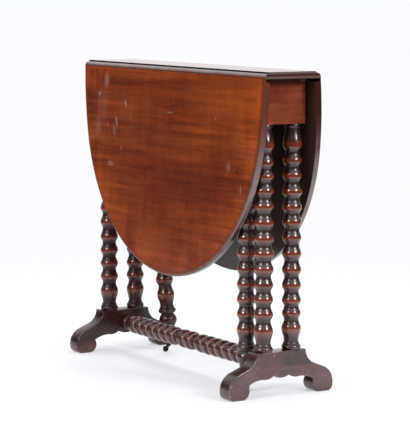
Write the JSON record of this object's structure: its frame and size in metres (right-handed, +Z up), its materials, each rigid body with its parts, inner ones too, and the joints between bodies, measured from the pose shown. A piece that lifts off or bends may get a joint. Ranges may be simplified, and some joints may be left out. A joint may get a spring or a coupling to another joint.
{
  "type": "drop-leaf gateleg table",
  "caption": "Narrow drop-leaf table with half-oval rule-jointed leaves, bobbin-turned end columns and stretcher on sledge feet, and turned gate legs on casters.",
  "frame": {"origin": "middle of the floor under the table", "axes": "+X along the hinge lines towards the right end, +Y towards the far leaf, +Z up"},
  "size_m": [0.804, 0.276, 0.715],
  "materials": {
    "top_wood": "french-polished red-brown mahogany, grain along the hinge lines",
    "turned_wood": "dark stained mahogany, polished",
    "foot_wood": "dark stained mahogany, worn satin polish",
    "apron_wood": "polished red-brown mahogany",
    "frame_wood": "planed secondary wood, unpolished",
    "hinge_brass": "dull old brass",
    "screw_steel": "old steel",
    "pin_steel": "drawn steel",
    "caster_brass": "darkened brass",
    "caster_wheel": "dark iron"
  },
  "bodies": {
    "frame": {"far_hinge_pins": "pin_steel", "far_hinge_top_flaps": "hinge_brass", "far_hinge_top_screws": "screw_steel", "far_inner_rail": "frame_wood", "far_knuckle_pin": "pin_steel", "far_knuckle_rail": "frame_wood", "far_knuckle_screws": "screw_steel", "fixed_top": "top_wood", "left_apron": "apron_wood", "left_far_column": "turned_wood", "left_foot": "foot_wood", "left_near_column": "turned_wood", "near_hinge_pins": "pin_steel", "near_hinge_top_flaps": "hinge_brass", "near_hinge_top_screws": "screw_steel", "near_inner_rail": "frame_wood", "near_knuckle_pin": "pin_steel", "near_knuckle_rail": "frame_wood", "near_knuckle_screws": "screw_steel", "rail_spacers": "frame_wood", "right_apron": "apron_wood", "right_far_column": "turned_wood", "right_foot": "foot_wood", "right_near_column": "turned_wood", "stretcher": "turned_wood", "top_screws": "screw_steel"},
    "near_leaf": {"near_hinge_leaf_flaps": "hinge_brass", "near_hinge_leaf_screws": "screw_steel", "near_leaf": "top_wood"},
    "far_leaf": {"far_hinge_leaf_flaps": "hinge_brass", "far_hinge_leaf_screws": "screw_steel", "far_leaf": "top_wood"},
    "near_gate": {"near_caster_cup": "caster_brass", "near_fly_rail": "frame_wood", "near_gate_leg": "turned_wood"},
    "far_gate": {"far_caster_cup": "caster_brass", "far_fly_rail": "frame_wood", "far_gate_leg": "turned_wood"},
    "near_caster": {"near_caster_axle": "caster_brass", "near_caster_horn": "caster_brass"},
    "far_caster": {"far_caster_axle": "caster_brass", "far_caster_horn": "caster_brass"},
    "near_caster_wheel": {"near_caster_wheel": "caster_wheel"},
    "far_caster_wheel": {"far_caster_wheel": "caster_wheel"}
  },
  "joints": [
    {"name": "near_leaf_hinge", "type": "hinge", "parent": "frame", "child": "near_leaf", "pos_m": [0, -0.062, 0.702], "axis": [-1, 0, 0], "range_deg": [0, 88.9]},
    {"name": "far_leaf_hinge", "type": "hinge", "parent": "frame", "child": "far_leaf", "pos_m": [0, 0.062, 0.702], "axis": [1, 0, 0], "range_deg": [0, 85.5]},
    {"name": "near_gate_swing", "type": "hinge", "parent": "frame", "child": "near_gate", "pos_m": [0, -0.0395, 0.6], "axis": [0, 0, -1], "range_deg": [-0.07, 0.08]},
    {"name": "far_gate_swing", "type": "hinge", "parent": "frame", "child": "far_gate", "pos_m": [0, 0.0395, 0.6], "axis": [0, 0, -1], "range_deg": [-0.8, 1.2]},
    {"name": "near_caster_swivel", "type": "hinge", "parent": "near_gate", "child": "near_caster", "pos_m": [0.282, -0.0395, 0], "axis": [0, 0, 1], "continuous": true},
    {"name": "near_caster_roll", "type": "hinge", "parent": "near_caster", "child": "near_caster_wheel", "pos_m": [0.27308, -0.03147, 0.007], "axis": [-0.6691, -0.7431, 0], "continuous": true},
    {"name": "far_caster_swivel", "type": "hinge", "parent": "far_gate", "child": "far_caster", "pos_m": [-0.23689, 0.07515, 0.00123], "axis": [-0.0748, -0.0591, 0.9954], "continuous": true},
    {"name": "far_caster_roll", "type": "hinge", "parent": "far_caster", "child": "far_caster_wheel", "pos_m": [-0.24373, 0.06459, 0.00713], "axis": [0.8468, -0.5309, 0.0321], "continuous": true}
  ]
}
